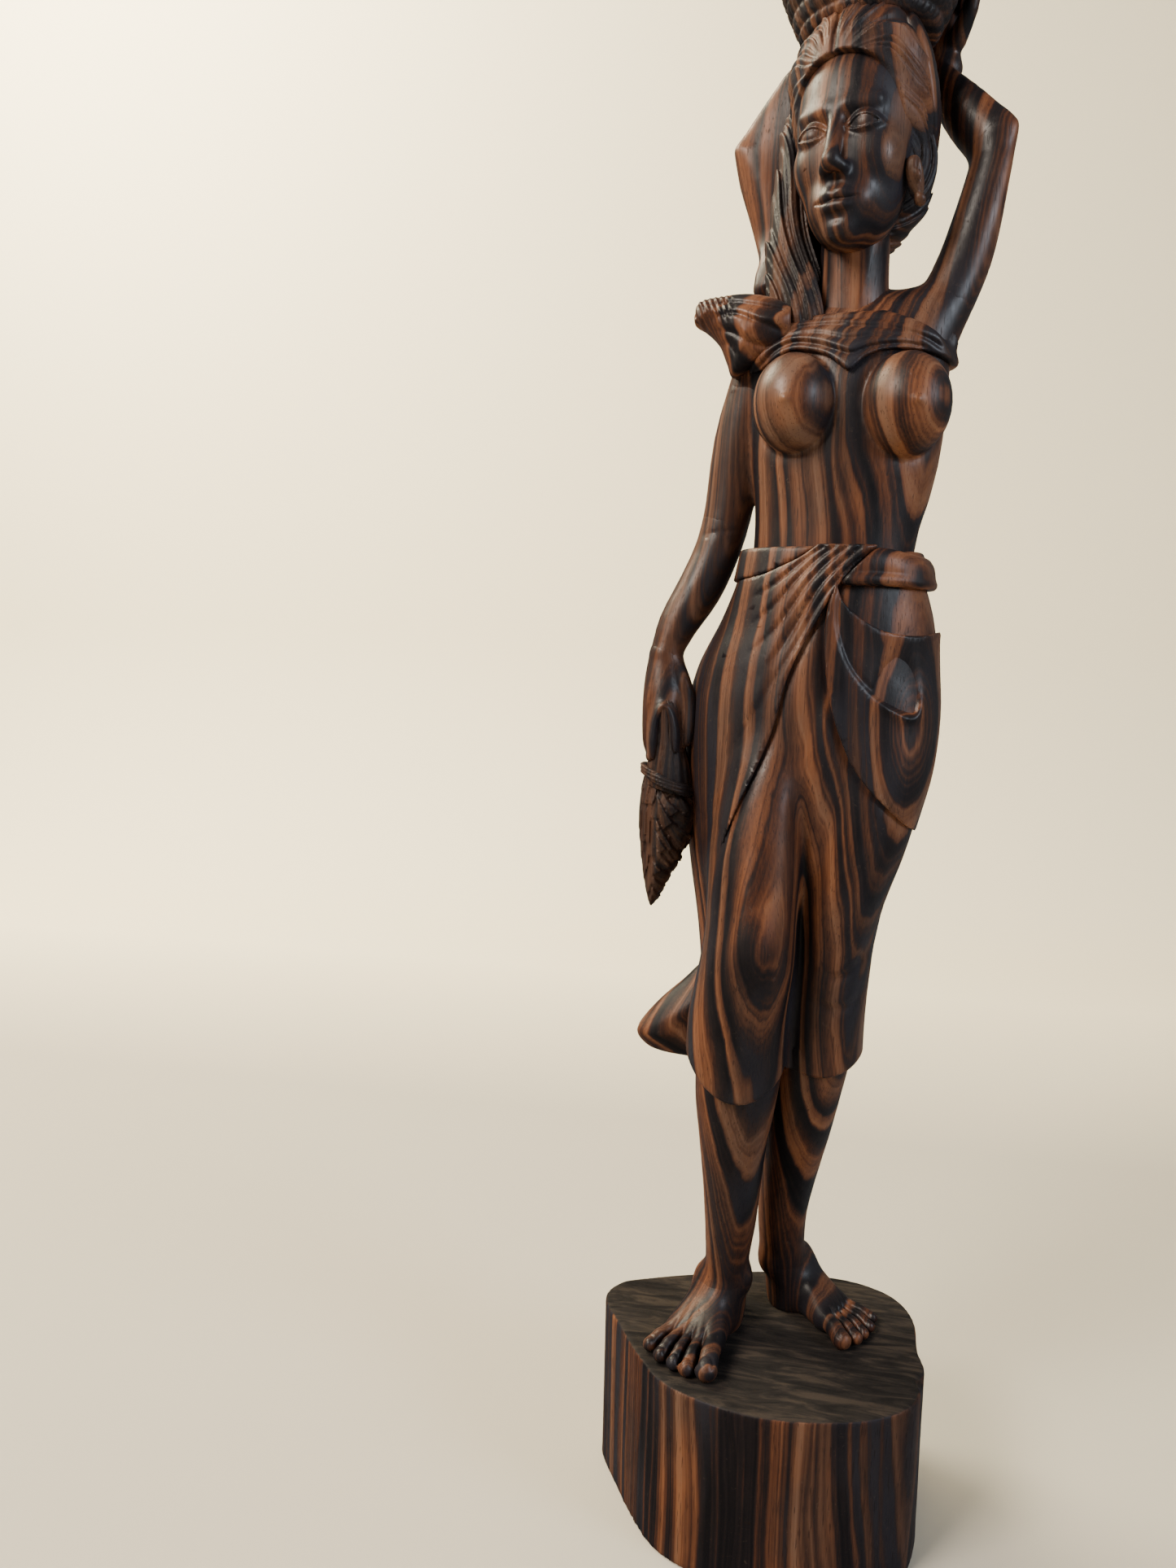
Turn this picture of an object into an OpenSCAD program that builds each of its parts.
// Carved standing figure with a head basket, on a log base.
// Millimetres, +Z up, the figure faces -Y, origin on the underside of the base, below the figure.

/* [Base] */
// Height of the log base
base_h = 100; // [90:1:110]

/* [Cloth] */
// Thickness of the carved sarong overlap
cloth_t = 2.5; // [1.5:0.1:3.5]
// How far the scooped drape stands out from the sarong
drape_t = 4; // [3:0.5:6]
// How far the waistband stands out from the body
band_t = 5; // [4:0.5:7]
// How far the shawl stands out from the chest
shawl_t = 5; // [4:0.5:7]

/* [Head] */
// Thickness of the carved hair
hair_t = 4; // [3:0.5:5]
// Thickness of the head cloth
headcloth_t = 3; // [2:0.5:4]

/* [Basket] */
// Outer radius of the basket at its foot
basket_foot_r = 31; // [28:1:34]
// Outer radius of the basket at its rim
basket_r = 60; // [54:1:66]
// Height of the basket from its foot to its rim
basket_h = 70; // [60:1:80]
// Thickness of the basket wall
basket_wall = 5; // [4:0.5:7]
// Radius of the round rim
rim_r = 4; // [3.5:0.5:6]
// Height of the rice heap above the rim's middle
heap_h = 22; // [15:1:30]

/* [Detail] */
// Sides of each round section
sides = 24; // [16:4:32]

/* [Hidden] */

ebony = [0.20, 0.11, 0.07];
ebony_dark = [0.11, 0.08, 0.07];
ebony_red = [0.30, 0.14, 0.08];

// Heights where one piece meets the next
foot_top = base_h + 28;
hem_z = 250;
waist_z = 519;
band_top = 538;
torso_top = 668;

// Outline of the log base, seen from above
base_outline = [[-107, 22], [-101, 40], [-81, 51], [-23, 71], [21, 76], [46, 72], [64, 60], [72, 40], [72, 12], [74, -6],
                [66, -36], [44, -53], [15, -62], [-15, -64], [-46, -57], [-71, -41], [-92, -8]];

// Upright forms are lists of sections [z, centre x, centre y, half width, half depth]
torso_form = [[waist_z, 4, 6, 42, 27], [540, 5, 6, 41, 26], [560, 7, 6, 44, 27], [580, 8, 5, 46, 28], [610, 10, 5, 48, 30],
              [630, 10, 7, 46, 29], [645, 9, 9, 40, 25], [658, 8, 10, 30, 21], [torso_top, 8, 10, 21, 18]];
sarong_form = [[hem_z, -10, 18, 40, 27], [292, -10, 18, 43, 30], [335, -10, 16, 45, 36], [375, -8, 16, 52, 42],
               [415, -4, 16, 60, 46], [450, -1, 15, 64, 46], [490, 2, 11, 57, 40], [waist_z, 4, 7, 49, 33]];
right_lap_form = [[hem_z, -33, -6, 27, 30], [285, -34, -8, 28, 33], [325, -30, -11, 28, 36], [375, -28, -6, 30, 34], [430, -24, 4, 28, 32]];
left_lap_form = [[hem_z, 12, 16, 20, 24], [300, 12, 15, 21, 27], [345, 16, 12, 24, 31], [385, 24, 10, 27, 32], [430, 32, 10, 26, 30]];
sarong_forms = [sarong_form, right_lap_form, left_lap_form];
right_leg_form = [[foot_top, -36, 14, 13, 17], [160, -35, 12, 13, 16], [190, -35, 8, 15, 20], [220, -34, 2, 19, 24], [hem_z, -34, -3, 23, 26]];
left_leg_form = [[foot_top, -2, 42, 14, 17], [160, -6, 39, 14, 17], [190, -3, 34, 15, 20], [220, 3, 26, 18, 23], [hem_z, 9, 20, 19, 23]];
neck_form = [[torso_top, 8, 9, 18, 17], [680, 8, 7, 17, 17], [705, 9, 5, 17, 18]];
// The head's own frame stands upright at its middle, facing -Y
head_form = [[-56, 0, -16, 10, 12], [-45, 0, -9, 19, 25], [-28, 0, -3, 26, 34], [-6, 0, 0, 30, 38],
             [16, 0, 1, 31, 39], [32, 0, 3, 27, 34], [44, 0, 4, 19, 24], [48, 0, 5, 12, 16]];
head_at = [8, 4, 732];
head_turn = [0, 6, -16];

// Limbs are lists of places [x, y, z, half width, half depth]
right_arm_path = [[-32, 12, 640, 15, 15], [-37, 14, 622, 14, 14], [-43, 16, 590, 13, 13], [-49, 16, 553, 12, 13],
                  [-60, 13, 525, 13, 13], [-73, 8, 500, 11, 11], [-80, 4, 482, 8, 9],
                  [-80, 1, 464, 10, 12], [-79, -1, 446, 11, 13], [-78, -2, 430, 8, 11]];
left_arm_path = [[44, 11, 636, 17, 15], [57, 14, 664, 14, 13], [65, 18, 692, 13, 12], [72, 22, 722, 12, 12],
                 [73, 26, 740, 13, 12], [62, 33, 754, 12, 11], [51, 41, 774, 9, 9],
                 [47, 47, 790, 9, 7], [50, 52, 806, 9, 5], [55, 56, 824, 7, 4]];
// Places of the arms where the forearm and the hand start
elbow = 3;
wrist = 6;
fingertip = 9;
stalk_path = [[-78, -2, 430, 8, 11], [-78, -2, 416, 11, 12]];
tie_h = 8;
tie_out = 3;
ear_path = [[-78, -2, 408, 12, 13], [-79, -2, 396, 15, 16], [-80, 0, 378, 13, 15], [-82, 2, 360, 8, 9], [-83, 3, 346, 3, 4]];
tress_path = [[-16, 4, 706, 7, 9], [-20, -3, 690, 10, 11], [-18, -8, 672, 12, 9], [-10, -14, 655, 9, 6]];
nape_path = [[25, 20, 722, 15, 16], [26, 21, 704, 15, 16], [20, 20, 686, 9, 10]];
shawl_low = 624;
shawl_top = 655;
// Small overlap that makes a cut clean
eps = 0.05;

basket_at = [11, 14, head_at.z + 49];

// One value on the smooth curve through a, b, c and d, between b and c
function curve(a, b, c, d, t) =
    0.5 * (2 * b + (c - a) * t + (2 * a - 5 * b + 4 * c - d) * t * t + (3 * b - a - 3 * c + d) * t * t * t);
function pick(rows, i) = rows[max(0, min(len(rows) - 1, i))];
function smooth(rows, i, t) = curve(pick(rows, i - 1), pick(rows, i), pick(rows, i + 1), pick(rows, i + 2), t);
function closed_smooth(pts, per) = let (n = len(pts))
    [for (i = [0 : n - 1], k = [0 : per - 1])
        curve(pts[(i + n - 1) % n], pts[i], pts[(i + 1) % n], pts[(i + 2) % n], k / per)];
function unit(v) = v / norm(v);
function steps(a, b, n) = [for (i = [0 : n]) a + (b - a) * i / n];
function two_triangles(a, b, c, d) = [[a, b, c], [a, c, d]];

// The row of a form below height z, and the form's section there
function row_below(form, z, i = 0) = i >= len(form) - 2 || form[i + 1][0] > z ? i : row_below(form, z, i + 1);
function section(form, z) = let (i = row_below(form, z), low = form[i][0], high = form[i + 1][0])
    smooth(form, i, max(0, min(1, (z - low) / (high - low))));
// How far a ray from p in direction u runs before it leaves an ellipse, or 0 if it never meets it
function ray_exit(p, u, centre, half) =
    let (q = [(p.x - centre.x) / half.x, (p.y - centre.y) / half.y], w = [u.x / half.x, u.y / half.y],
         b = q * w, under = b * b - (w * w) * (q * q - 1))
    under <= 0 ? 0 : (sqrt(under) - b) / (w * w);
// A point on the outside of several forms together, moved outwards by grow
function on_forms(forms, z, a, grow = 0) =
    let (first = section(forms[0], z), p = [first[1], first[2]], u = [cos(a), sin(a)],
         out = max([for (f = forms) if (z <= f[len(f) - 1][0]) let (s = section(f, z))
             ray_exit(p, u, [s[1], s[2]], [s[3] + grow, s[4] + grow])]))
    [p.x + out * u.x, p.y + out * u.y, z];

// A closed solid through rings of points, all with the same count
module skin(rings) {
    n = len(rings[0]);
    m = len(rings);
    wall = [for (j = [0 : m - 2], i = [0 : n - 1]) let (k = (i + 1) % n)
        each two_triangles(j * n + i, (j + 1) * n + i, (j + 1) * n + k, j * n + k)];
    polyhedron(points = [for (r = rings) each r],
               faces = concat([[for (i = [0 : n - 1]) i]], wall, [[for (i = [n - 1 : -1 : 0]) (m - 1) * n + i]]));
}

// The solid inside several forms together
module form_solid(forms, count, n = sides) {
    first = forms[0];
    skin([for (z = steps(first[0][0], first[len(first) - 1][0], count))
        [for (i = [0 : n - 1]) on_forms(forms, z, 360 * i / n)]]);
}

// The solid inside one form between two heights, grown outwards: it cuts what stands against the form
module form_block(form, z0, z1, grow, count = 12) {
    skin([for (z = steps(z0, z1, count)) [for (i = [0 : sides - 1]) on_forms([form], z, 360 * i / sides, grow)]]);
}

// The stretch of a round limb between two places of its smooth path
module limb(path, from, to, per = 3, n = 16) {
    last = (len(path) - 1) * per;
    function place(i) = let (j = max(0, min(last, i)))
        smooth(path, min(floor(j / per), len(path) - 2), j == last ? 1 : (j % per) / per);
    skin([for (i = [from * per : to * per])
        let (p = place(i), before = place(i - 1), after = place(i + 1),
             along = unit([after.x - before.x, after.y - before.y, after.z - before.z]),
             across = unit(cross([0, 1, 0], along)), deep = cross(along, across))
        [for (k = [0 : n - 1]) let (a = (along.z < 0 ? -1 : 1) * 360 * k / n)
            [p.x, p.y, p.z] + across * p[3] * cos(a) + deep * p[4] * sin(a)]]);
}

// A closed solid between an outer and an inner grid of points; joined is true when the grid goes all the way round
module slab(outer, inner, joined = false) {
    m = len(outer);
    n = len(outer[0]);
    last = joined ? n - 1 : n - 2;
    size = m * n;
    top = (m - 1) * n;
    outside = [for (j = [0 : m - 2], i = [0 : last]) let (k = (i + 1) % n)
        each two_triangles(j * n + i, (j + 1) * n + i, (j + 1) * n + k, j * n + k)];
    inside = [for (f = outside) [size + f[2], size + f[1], size + f[0]]];
    low_edge = [for (i = [0 : last]) let (k = (i + 1) % n) each two_triangles(i, k, size + k, size + i)];
    high_edge = [for (i = [0 : last]) let (k = (i + 1) % n)
        each two_triangles(top + k, top + i, size + top + i, size + top + k)];
    first_edge = joined ? [] : [for (j = [0 : m - 2])
        each two_triangles((j + 1) * n, j * n, size + j * n, size + (j + 1) * n)];
    last_edge = joined ? [] : [for (j = [0 : m - 2]) let (a = j * n + n - 1)
        each two_triangles(a, a + n, size + a + n, size + a)];
    polyhedron(points = [for (r = outer) each r, for (r = inner) each r],
               faces = concat(outside, inside, low_edge, high_edge, first_edge, last_edge));
}

// Cloth on forms between two heights; from and to are [height, angle] tables of its two edges
module patch(forms, z0, z1, from, to, thick, rows = 8, columns = 8, lift = 0) {
    function grid(grow) = [for (z = steps(z0, z1, rows))
        [for (f = steps(0, 1, columns)) on_forms(forms, z, lookup(z, from) * (1 - f) + lookup(z, to) * f, grow)]];
    slab(grid(lift + thick), grid(lift));
}

module collar(form, z0, z1, thick, rows = 4) {
    function grid(grow) = [for (z = steps(z0, z1, rows)) [for (i = [0 : sides - 1]) on_forms([form], z, 360 * i / sides, grow)]];
    slab(grid(thick), grid(0), joined = true);
}

module link(a, b, ra, rb) {
    hull() {
        translate(a) sphere(r = ra, $fn = 12);
        translate(b) sphere(r = rb, $fn = 12);
    }
}

module ball(at, size) {
    translate(at) scale(size) sphere(r = 1, $fn = 16);
}

module base() {
    color(ebony) linear_extrude(base_h) polygon(closed_smooth(base_outline, 3));
}

// A foot from its heel to its ball, with five toes; outer_side is 1 when the little toe is on the right foot's side
module foot(heel, ball_of, ankle, outer_side) {
    along = unit([ball_of.x - heel.x, ball_of.y - heel.y, 0]);
    across = [along.y, -along.x, 0] * outer_side;
    intersection() {
        union() {
            link(heel, ball_of, 13, 10);
            link(ankle, heel, 15, 13);
            link(ankle, ball_of, 13, 9);
            link(ball_of - across * 12, ball_of + across * 15, 8, 6);
            link(heel, ball_of + across * 13, 10, 6);
            for (t = [0 : 4]) {
                root = ball_of + across * (-13 + 7.5 * t);
                link(root, root + along * (20 - 3 * t) + across * (t - 1), 5.5 - 0.5 * t, 5.5 - 0.6 * t);
            }
        }
        translate([-150, -150, base_h]) cube([300, 300, foot_top - base_h]);
    }
}

module right_foot() {
    color(ebony) foot([-38, 22, base_h + 9], [-49, -22, base_h + 6], [-36, 14, foot_top], 1);
}

module left_foot() {
    color(ebony) foot([2, 47, base_h + 9], [32, 20, base_h + 6], [-2, 42, foot_top], -1);
}

module right_leg() {
    color(ebony) form_solid([right_leg_form], 8);
}

module left_leg() {
    color(ebony_dark) form_solid([left_leg_form], 8);
}

module sarong() {
    color(ebony) form_solid(sarong_forms, 16, 40);
}

// The free edge of the wrap, from the waist down to the hem
module sarong_overlap() {
    color(ebony_red) patch(sarong_forms, hem_z + 8, waist_z - 2, [[hem_z, 170], [waist_z, 200]],
                           [[hem_z, 222], [340, 232], [430, 262], [waist_z, 296]], cloth_t, 14, 10);
}

// The scooped fold over the left hip
module sarong_drape() {
    color(ebony) patch(sarong_forms, 376, waist_z - 8, [[376, 322], [410, 306], [460, 290], [waist_z, 300]],
                       [[376, 336], [410, 352], [460, 372], [waist_z, 366]], drape_t, 10, 8);
}

// The blown corner of cloth behind the right knee
module sarong_tail() {
    color(ebony_red) difference() {
        hull() {
            link([-56, 24, 300], [-56, 24, 258], 7, 7);
            link([-72, 26, 290], [-76, 26, 262], 6, 6);
            ball([-85, 26, 270], [6, 5, 9]);
        }
        sarong();
    }
}

module waistband() {
    color(ebony_dark) collar(torso_form, waist_z, band_top, band_t);
}

module torso() {
    color(ebony_red) union() {
        form_solid([torso_form], 14);
        ball([-18, -17, 599], [19, 20, 22]);
        ball([36, -17, 598], [20, 20, 24]);
    }
}

module shawl() {
    color(ebony) collar(torso_form, shawl_low, shawl_top, shawl_t, 6);
}

module shawl_block() {
    form_block(torso_form, shawl_low, shawl_top, shawl_t + eps, 6);
}

module torso_block() {
    form_block(torso_form, waist_z, torso_top, eps, 14);
}

module shawl_end() {
    color(ebony_red) difference() {
        hull() {
            link([-40, -8, 653], [-42, -6, 628], 6, 6);
            link([-62, -10, 654], [-58, -10, 640], 6, 5);
            ball([-66, -10, 650], [5, 6, 5]);
        }
        shawl_block();
        torso_block();
        limb(right_arm_path, 0, elbow);
    }
}

module neck() {
    color(ebony) difference() {
        form_solid([neck_form], 4);
        head();
    }
}

module in_head_frame() {
    translate(head_at) rotate(head_turn) children();
}

module head() {
    color(ebony_red) in_head_frame() union() {
        form_solid([head_form], 14);
        ball([0, -38, -14], [5, 6, 9]);
    }
}

// Hair from temple to temple over the crown, parted from the face at the front
module hair() {
    color(ebony_dark) in_head_frame() patch([head_form], -34, 47, [[-34, -15], [0, -30], [30, -62], [47, -75]],
                                            [[-34, 195], [0, 210], [30, 242], [47, 255]], hair_t, 10, 16);
}

// The head with its hair and cloth as one closed solid
module head_block() {
    in_head_frame() form_block(head_form, -56, 48, hair_t + headcloth_t + eps);
}

module neck_block() {
    form_solid([neck_form], 4);
}

module nape_roll() {
    color(ebony_dark) difference() {
        limb(nape_path, 0, 2);
        head_block();
        neck_block();
    }
}

module hair_tress() {
    color(ebony_dark) difference() {
        limb(tress_path, 0, 3);
        head_block();
        neck_block();
        torso_block();
        shawl_block();
    }
}

module left_ear() {
    color(ebony_red) difference() {
        in_head_frame() ball([32, -12, -20], [5, 6, 11]);
        head();
        hair();
    }
}

module headcloth() {
    color(ebony_dark) in_head_frame() patch([head_form], -14, 46, [[-14, 8], [20, -8], [46, -20]],
                                            [[-14, 172], [20, 188], [46, 200]], headcloth_t, 8, 12, hair_t);
}

// The cloth that stands out behind the head on the right, with one sharp corner
module headcloth_fold() {
    color(ebony_dark) difference() {
        hull() {
            link([-31, 26, 772], [-50, 26, 739], 4, 3);
            link([-36, 26, 696], [-35, 26, 682], 4, 4);
            link([-10, 28, 766], [-16, 28, 684], 5, 5);
        }
        head_block();
        neck_block();
        limb(tress_path, 0, 3);
    }
}

module right_upper_arm() {
    color(ebony) difference() {
        limb(right_arm_path, 0, elbow);
        torso_block();
        shawl_block();
    }
}

module right_forearm() {
    color(ebony) limb(right_arm_path, elbow, wrist);
}

module right_hand() {
    color(ebony) limb(right_arm_path, wrist, fingertip);
}

module sheaf_stalks() {
    color(ebony) limb(stalk_path, 0, 1);
}

module sheaf_tie() {
    low = ear_path[0];
    color(ebony_dark) translate([low.x, low.y, low.z]) scale([low[3] + tie_out, low[4] + tie_out, 1]) cylinder(h = tie_h, r = 1, $fn = 12);
}

module sheaf_ears() {
    color(ebony_dark) limb(ear_path, 0, 4);
}

module left_upper_arm() {
    color(ebony) difference() {
        limb(left_arm_path, 0, elbow);
        torso_block();
        shawl_block();
    }
}

module left_forearm() {
    color(ebony) limb(left_arm_path, elbow, wrist);
}

module left_hand() {
    color(ebony_dark) difference() {
        limb(left_arm_path, wrist, fingertip);
        basket();
    }
}

// The basket's outline from its foot to its rim
basket_profile = [for (f = steps(0, 1, 8)) [basket_foot_r + (basket_r - basket_foot_r) * pow(f, 0.85), basket_h * f]];
floor_t = basket_wall + 2;
inner_r = basket_r - basket_wall;
inner_floor_r = basket_foot_r - 4;

module basket() {
    color(ebony_dark) translate(basket_at) rotate_extrude($fn = 72)
        polygon([[0, 0], each basket_profile, [inner_r, basket_h], [inner_floor_r, floor_t], [0, floor_t]]);
}

module basket_rim() {
    color(ebony) translate(basket_at + [0, 0, basket_h + rim_r]) rotate_extrude($fn = 72)
        translate([basket_r - basket_wall / 2, 0]) circle(r = rim_r, $fn = 24);
}

// Bundled rice ears that fill the basket and stand above its rim in a dome
module rice_heap() {
    heap_r = basket_r - basket_wall / 2 - rim_r;
    color(ebony_red) translate(basket_at) rotate_extrude($fn = 72)
        polygon([[0, floor_t], [inner_floor_r, floor_t], [inner_r, basket_h], [heap_r, basket_h + rim_r],
                 for (a = steps(15, 90, 6)) [heap_r * cos(a), basket_h + rim_r + heap_h * sin(a)]]);
}

base();
right_foot();
left_foot();
right_leg();
left_leg();
sarong();
sarong_overlap();
sarong_drape();
sarong_tail();
waistband();
torso();
shawl();
shawl_end();
neck();
head();
hair();
nape_roll();
hair_tress();
left_ear();
headcloth();
headcloth_fold();
right_upper_arm();
right_forearm();
right_hand();
sheaf_stalks();
sheaf_tie();
sheaf_ears();
left_upper_arm();
left_forearm();
left_hand();
basket();
basket_rim();
rice_heap();
